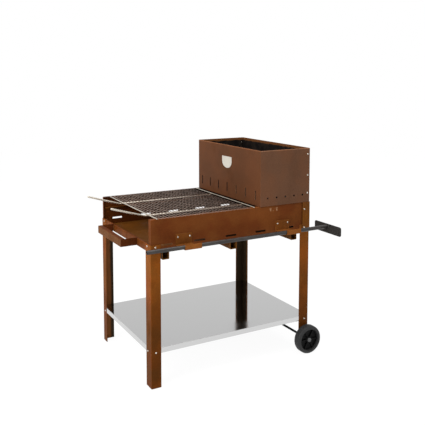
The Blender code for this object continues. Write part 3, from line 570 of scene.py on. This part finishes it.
def make_brazier(mats):
    low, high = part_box("brazier_shell")
    heart = (low + high) / 2
    paint = [mats[name] for name in ("brazier", "brazier_side_painted_shade", "brazier_inside", "brazier_edge_wear_and_highlight")]
    for node in ("brazier_shell", "brazier_end_panel"):
        fine_sheet(node, *paint, heart)
    fine_sheet("brazier_grate", *[mats["soot"]] * 4)
    fine_sheet("brazier_badge", *[mats["badge"]] * 4)


# Outlines of a wheel's parts, as (radius, distance inwards from the outer face)
def tyre_outline():
    half = [(RIM_RADIUS, WEB_DEPTH)] + [(RIM_RADIUS + out, depth) for out, depth in RIM_LIP]
    for k in range(ROUND_STEPS + 2):
        t = math.pi / 2 * k / (ROUND_STEPS + 1)
        half.append((WHEEL_RADIUS - TREAD_ROUND * (1 - math.sin(t)), TREAD_ROUND * (1 - math.cos(t))))
    half.append((WHEEL_RADIUS, WHEEL_WIDTH / 2 - SEAM_START))
    half.append((WHEEL_RADIUS - SEAM_DEPTH, WHEEL_WIDTH / 2 - SEAM_WIDTH))
    return half + [(radius, WHEEL_WIDTH - depth) for radius, depth in half[::-1]]


def wheel_centre_outline():
    return [
        (AXLE_BORE, HUB_DEPTH),
        (HUB_RADIUS - 0.0015, HUB_DEPTH),
        (HUB_RADIUS, HUB_DEPTH + 0.0015),
        (HUB_RADIUS + 0.0006, WEB_DEPTH - 0.002),
        (HUB_RADIUS + 0.0026, WEB_DEPTH),
        (RIM_RADIUS + 0.0004, WEB_DEPTH),
        (RIM_RADIUS + 0.0004, WEB_BACK),
        (HUB_RADIUS, WEB_BACK),
        (HUB_RADIUS, WHEEL_WIDTH),
        (AXLE_BORE, WHEEL_WIDTH),
    ]


def hub_cap_outline():
    dome = [(CAP_RADIUS * radius, CAP_LENGTH * height) for radius, height in CAP_DOME]
    return [(0.0, CAP_LENGTH)] + dome + [(AXLE_BORE, 0.0), (AXLE_BORE, CAP_SEAT), (0.0, CAP_SEAT)]


def make_wheel(mats, side, along_y):
    node, cap_node = f"wheel_{side}", f"hub_cap_{side}"
    low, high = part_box(node)
    face = low.y if side == "front" else high.y
    centre = Vector(((low.x + high.x) / 2, face, (low.z + high.z) / 2))
    inward = Vector((0, -along_y, 0))
    bm = bmesh.new()
    spun(bm, tyre_outline(), centre, inward, WHEEL_STEPS)
    piece(f"{node}_tyre", closed(bm), [mats["tyre"]], [node], 35)
    # The centre takes the darker copy of the plastic, as painted shade in its recess
    bm = bmesh.new()
    spun(bm, wheel_centre_outline(), centre, inward, WHEEL_STEPS)
    flip = Matrix.Diagonal((1, -along_y, 1, 1))
    for k in range(RIB_COUNT):
        near = (HUB_RADIUS - 0.001, RIB_DEPTH, -RIB_WIDTH / 2)
        far = (RIM_RADIUS, WEB_DEPTH, RIB_WIDTH / 2)
        turn = Matrix.Rotation(math.tau * k / RIB_COUNT, 4, "Y")
        bmesh.ops.transform(bm, matrix=Matrix.Translation(centre) @ turn @ flip, verts=add_box(bm, near, far))
    piece(f"{node}_centre", closed(bm), [mats["wheel_centre"]], [node], 35)
    low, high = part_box(cap_node)
    seat = high.y if side == "front" else low.y
    bm = bmesh.new()
    spun(bm, hub_cap_outline(), (centre.x, seat, centre.z), (0, along_y, 0), CAP_STEPS)
    piece(f"{cap_node}_dome", closed(bm), [mats["cap"]], [cap_node], 50)


def make_axle(mats):
    low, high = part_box("axle")
    radius, length = (high.z - low.z) / 2, high.y - low.y
    thin = radius - AXLE_CHAMFER
    outline = [
        (0, 0),
        (thin, 0),
        (radius, AXLE_CHAMFER),
        (radius, length - AXLE_CHAMFER),
        (thin, length),
        (0, length),
    ]
    bm = bmesh.new()
    spun(bm, outline, ((low.x + high.x) / 2, low.y, (low.z + high.z) / 2), (0, 1, 0), AXLE_STEPS)
    piece("axle_bar", closed(bm), [mats["axle"]], ["axle"], 50)


# A route through points whose corners are arcs of the given radius
def rounded_route(points, radius, steps=8):
    route = [Vector(points[0])]
    for i in range(1, len(points) - 1):
        before, corner, after = (Vector(points[k]) for k in (i - 1, i, i + 1))
        a, b = (before - corner).normalized(), (after - corner).normalized()
        half = a.angle(b) / 2
        centre = corner + (a + b).normalized() * radius / math.sin(half)
        start = (corner + a * radius / math.tan(half) - centre).normalized()
        end = (corner + b * radius / math.tan(half) - centre).normalized()
        route += [centre + start.slerp(end, k / steps) * radius for k in range(steps + 1)]
    route.append(Vector(points[-1]))
    return route


def rod_curve(name, route, radius, finish, nodes):
    """A round bar along a route, with its two ends rounded off."""
    spots = []
    for end, inner in ((route[0], route[1]), (route[-1], route[-2])):
        along = (inner - end).normalized()
        steps = [math.pi / 2 * k / ROUND_STEPS for k in range(ROUND_STEPS + 1)]
        spots.append([(end + along * radius * (1 - math.cos(t)), max(math.sin(t), 0.04)) for t in steps])
    middle = [(point, 1.0) for point in route[1:-1]]
    course = spots[0] + middle + spots[1][::-1]
    curve = bpy.data.curves.new(name, "CURVE")
    curve.dimensions = "3D"
    curve.bevel_depth = radius
    curve.bevel_resolution = 6
    curve.use_fill_caps = True
    spline = curve.splines.new("POLY")
    spline.points.add(len(course) - 1)
    for spot, (point, share) in zip(spline.points, course):
        spot.co = (*point, 1.0)
        spot.radius = share
    spline.use_smooth = True
    curve.materials.append(finish)
    obj = bpy.data.objects.new(name, curve)
    bpy.context.scene.collection.objects.link(obj)
    return dress(obj, nodes)


def make_grill_rods(mats):
    for end in ("left", "right"):
        low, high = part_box(f"grill_end_bar_{end}")
        middle = (low + high) / 2
        route = [Vector((middle.x, y, middle.z)) for y in (low.y, middle.y, high.y)]
        rod_curve(f"grill_end_rod_{end}", route, (high.x - low.x) / 2, mats["rod"], [f"grill_end_bar_{end}"])
    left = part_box("grill_end_bar_left")[0].x + 0.003
    for side, splay in HANDLE_SPLAY.items():
        low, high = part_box(f"grill_rod_{side}")
        level, y = low.z + ROD_RADIUS, high.y - ROD_RADIUS
        tip = Vector((low.x + 0.0014, y + splay, high.z - ROD_RADIUS))
        corner = Vector((left - HANDLE_START, y, level))
        route = rounded_route([(high.x, y, level), corner, tip], HANDLE_BEND)
        rod_curve(f"grill_handle_rod_{side}", route, ROD_RADIUS, mats["rod"], [f"grill_rod_{side}"])


def make_grill_mesh(mats):
    low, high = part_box("grill_mesh")
    bm = bmesh.new()
    for layer, across in enumerate((0, 1)):
        along, radius = 1 - across, WIRE_RADII[layer]
        span_across = high[across] - low[across] - 2 * radius
        count = round(span_across / WIRE_PITCHES[layer])
        turn = Vector((1 - along, along, 0)).to_track_quat("Z", "Y").to_matrix().to_4x4()
        for k in range(count + 1):
            middle = (low + high) / 2
            middle[across] = low[across] + radius + span_across * k / count
            middle.z = low.z + radius + 2 * WIRE_RADII[0] * layer
            bmesh.ops.create_cone(
                bm,
                cap_ends=True,
                segments=WIRE_SIDES,
                radius1=radius,
                radius2=radius,
                depth=high[along] - low[along],
                matrix=Matrix.Translation(middle) @ turn,
            )
    piece("grill_mesh_wires", bm, [mats["wire"]], ["grill_mesh"], 50)


def make_rake(mats):
    low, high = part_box("rake_tube")
    radius, length = (high.z - low.z) / 2, high.x - low.x
    bore = radius - TUBE_WALL
    start = Vector((low.x, (low.y + high.y) / 2, (low.z + high.z) / 2))
    outline = [
        (bore, TUBE_BREAK),
        (bore + TUBE_BREAK, 0),
        (radius - TUBE_BREAK, 0),
        (radius, TUBE_BREAK),
        (radius, length),
        (bore, length),
    ]
    bm = bmesh.new()
    spun(bm, outline, start, (1, 0, 0), TUBE_STEPS)
    piece("rake_tube_round", closed(bm), [mats["rake"]], ["rake_tube"], 40)
    fine_sheet("rake_blade", *[mats["blade"]] * 4)
    make_weld_bead(mats, start, radius, length - BEAD_GAP)


# A rippled weld round the tube, against the blade
def make_weld_bead(mats, start, radius, end):
    root = radius - TUBE_BREAK
    outline = [
        (root, end - BEAD_RADIUS),
        (radius + BEAD_RADIUS * 0.55, end + BEAD_GAP - BEAD_RADIUS * 0.75),
        (radius + BEAD_RADIUS, end),
        (root, end),
    ]
    bm = bmesh.new()
    spun(bm, outline, start, (1, 0, 0), BEAD_STEPS)
    closed(bm)
    for vert in bm.verts:
        off = vert.co - start
        spoke = Vector((0, off.y, off.z))
        if spoke.length > radius + TUBE_BREAK:
            ripple = 0.5 + 0.5 * math.sin(math.atan2(off.z, off.y) * BEAD_RIPPLES)
            vert.co -= spoke.normalized() * RIPPLE_DEPTH * ripple
    piece("rake_weld_bead", bm, [mats["blade"]], ["rake_blade"], 60)


def add_hexagon(bm, radius, far_radius, depth, matrix):
    made = bmesh.ops.create_cone(
        bm,
        cap_ends=True,
        segments=6,
        radius1=radius,
        radius2=far_radius,
        depth=depth,
        matrix=matrix,
    )
    return made["verts"]


# A pan-head screw with a six-sided socket, its shank and a chamfered nut
def make_screw(node, mats):
    low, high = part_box(node)
    axis, sign = screw_direction(node)
    outward = Vector((0, 0, 0))
    outward[axis] = sign
    middle = (low + high) / 2
    tip, back = middle.copy(), middle.copy()
    tip[axis], back[axis] = (high[axis], low[axis]) if sign > 0 else (low[axis], high[axis])
    seat = -HEAD_HEIGHT
    grip = -(tip - back).length + NUT_HEIGHT
    bm = bmesh.new()
    head = [
        (SOCKET_RADIUS * 1.25, -0.0001),
        (HEAD_RADIUS * 0.62, -0.0003),
        (HEAD_RADIUS * 0.86, -0.0009),
        (HEAD_RADIUS * 0.98, -0.0018),
        (HEAD_RADIUS, seat),
        (SHANK_RADIUS, seat),
        (SHANK_RADIUS, grip),
        (SOCKET_RADIUS * 0.6, grip),
        (SOCKET_RADIUS * 0.6, -SOCKET_DEPTH),
        (SOCKET_RADIUS, -SOCKET_DEPTH),
        (SOCKET_RADIUS, -0.0002),
    ]
    spun(bm, head, tip, outward, SCREW_STEPS)
    turn = outward.to_track_quat("Z", "Y").to_matrix().to_4x4()
    plug = Matrix.Translation(tip - outward * (SOCKET_DEPTH + 0.0002)) @ turn
    add_hexagon(bm, SOCKET_RADIUS, SOCKET_RADIUS * 0.9, 0.0004, plug)
    nut = Matrix.Translation(back + outward * NUT_HEIGHT / 2) @ turn
    verts = add_hexagon(bm, NUT_RADIUS, NUT_RADIUS, NUT_HEIGHT, nut)
    around = {edge for vert in verts for edge in vert.link_edges}
    rims = [edge for edge in around if abs((edge.verts[0].co - edge.verts[1].co).dot(outward)) < 1e-5]
    bevelled(bm, rims, NUT_CHAMFER, 1)
    piece(f"{node}_fine", closed(bm), [mats["screw"]], [node], 35)


def screw_direction(node):
    """The axis that a screw lies along and the sign of its head's side, from the node's own name."""
    if node.endswith("_end"):
        return 0, 1 if "_right_" in node else -1
    if node.startswith("bracket"):
        return 1, -1
    return 1, 1 if "_back_" in node or node.endswith("_back") else -1


def make_screws(mats):
    for node in sorted(NODES):
        if "_screw_" in node:
            make_screw(node, mats)


# A wide pale floor that takes a soft shadow and glows nearly white to the camera and in reflections
def make_floor():
    bm = bmesh.new()
    place = Matrix.Translation(MIDDLE)
    bmesh.ops.create_circle(bm, cap_ends=True, segments=FLOOR_STEPS, radius=FLOOR_RADIUS, matrix=place)
    mesh = bpy.data.meshes.new("studio_floor")
    bm.to_mesh(mesh)
    bm.free()
    finish = {"Base_Color": linear(FLOOR_TONE), "Roughness": 0.9, "Specular_IOR_Level": 0.0}
    mat, tree, shader = new_material("matt_white_floor", **finish)
    seen = add(tree, "LightPath", out="Is Camera Ray")
    for ray in ("Is Glossy Ray", "Is Transmission Ray"):
        seen = add(tree, "Math", {0: seen, 1: add(tree, "LightPath", out=ray)}, operation="MAXIMUM")
    share = add(tree, "Math", {0: seen, 1: GLOW_SHARE}, operation="MULTIPLY")
    glow = add(tree, "Emission", {"Color": (1, 1, 1, 1), "Strength": FLOOR_GLOW})
    both = add(tree, "MixShader", {0: share, 1: shader.outputs[0], 2: glow})
    tree.links.new(both, tree.nodes["Material Output"].inputs["Surface"])
    mesh.materials.append(mat)
    floor = bpy.data.objects.new("studio_floor", mesh)
    bpy.context.scene.collection.objects.link(floor)


# White for the camera and in reflections, softer as light
def make_world(strength):
    world = bpy.data.worlds.new("white_studio")
    world.use_nodes = True
    tree = world.node_tree
    camera, glossy, through = (
        add(tree, "LightPath", out=f"Is {kind} Ray") for kind in ("Camera", "Glossy", "Transmission")
    )
    seen = add(tree, "Math", {0: camera, 1: through}, operation="MAXIMUM")
    up = add(tree, "SeparateXYZ", {0: add(tree, "TexCoord", out="Generated")}, 2)
    shine = add(tree, "MapRange", {0: up, 1: 0.15, 2: 0.9, 3: 1.0, 4: 0.70}, **SOFT)
    level = add(tree, "Mix", {0: glossy, 6: (strength, strength, strength, 1), 7: shine}, **COLOURS)
    level = add(tree, "Mix", {0: seen, 6: level, 7: (1, 1, 1, 1)}, **COLOURS)
    feed(tree, tree.nodes["Background"], {"Color": level, "Strength": 1.0})
    bpy.context.scene.world = world


def area_lamp(name, place, size, power):
    lamp = bpy.data.lights.new(name, "AREA")
    lamp.shape = "SQUARE"
    lamp.size = size
    lamp.energy = power
    obj = bpy.data.objects.new(name, lamp)
    bpy.context.scene.collection.objects.link(obj)
    obj.location = MIDDLE + Vector(place)
    aim = MIDDLE + Vector(LAMP_TARGET) - obj.location
    obj.rotation_euler = aim.to_track_quat("-Z", "Y").to_euler()


def make_lights():
    make_world(ROOM_LIGHT)
    for name, (place, size, power) in LAMPS.items():
        area_lamp(name, place, size, power)


def make_camera():
    data = bpy.data.cameras.new("photo_camera")
    data.sensor_width = SENSOR
    data.lens = FOCAL_PIXELS * SENSOR / PHOTO_PIXELS
    data.shift_y = CAMERA_SHIFT
    camera = bpy.data.objects.new("photo_camera", data)
    bpy.context.scene.collection.objects.link(camera)
    azimuth, elevation = math.radians(CAMERA_AZIMUTH), math.radians(CAMERA_ELEVATION)
    flat_back = Vector((math.sin(azimuth), -math.cos(azimuth), 0.0))
    back = flat_back * math.cos(elevation) + Vector((0.0, 0.0, math.sin(elevation)))
    right = Vector((math.cos(azimuth), math.sin(azimuth), 0.0))
    turn = Matrix((right, back.cross(right), back)).transposed().to_4x4()
    roll = Matrix.Rotation(math.radians(CAMERA_ROLL), 4, "Z")
    camera.matrix_world = Matrix.Translation(MIDDLE + Vector(CAMERA_PLACE)) @ turn @ roll
    bpy.context.scene.camera = camera


def main():
    bpy.context.scene.view_settings.view_transform = "Standard"
    mats = make_paints() | make_metals_and_plastics()
    make_legs(mats)
    make_firebox(mats)
    make_shelf(mats)
    make_wheel(mats, "front", -1)
    make_wheel(mats, "back", 1)
    make_axle(mats)
    make_grill_rods(mats)
    make_grill_mesh(mats)
    make_brazier(mats)
    make_rake(mats)
    make_screws(mats)
    make_floor()
    make_lights()
    make_camera()


main()
